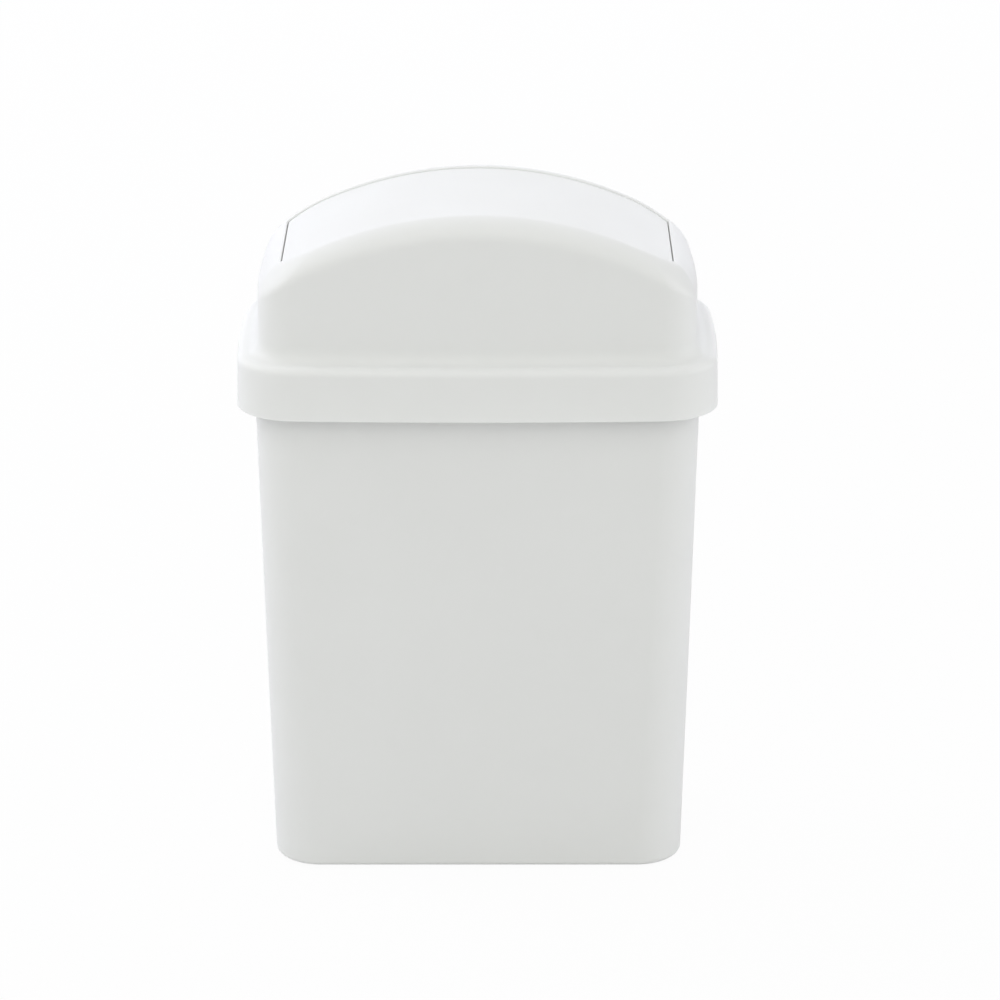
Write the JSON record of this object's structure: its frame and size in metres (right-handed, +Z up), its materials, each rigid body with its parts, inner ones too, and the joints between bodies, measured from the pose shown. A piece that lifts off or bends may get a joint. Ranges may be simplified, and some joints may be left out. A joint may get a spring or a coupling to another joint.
{
  "type": "swing-lid countertop bin",
  "caption": "Small rectangular countertop bin with tapered walls, a lift-off arched hood and a curved flap that swings both ways.",
  "frame": {"origin": "middle of the rectangular footprint, on the surface that the bin stands on", "axes": "+Z up, +X along the wide side, +Y towards the back; the flap's pivot axis runs along Y"},
  "size_m": [0.182, 0.1032, 0.2622],
  "materials": {
    "white_plastic": "satin moulded polypropylene"
  },
  "bodies": {
    "bucket": {"bucket": "white_plastic"},
    "lid": {"lid_hood": "white_plastic"},
    "flap": {"swing_flap": "white_plastic"}
  },
  "joints": [
    {"name": "lid_lift", "type": "slide", "parent": "bucket", "child": "lid", "axis": [0, 0, 1], "range_m": [0, 0.08]},
    {"name": "flap_swing", "type": "hinge", "parent": "lid", "child": "flap", "pos_m": [0, 0, 0.2562], "axis": [0, 1, 0], "range_deg": [-80, 80]}
  ]
}
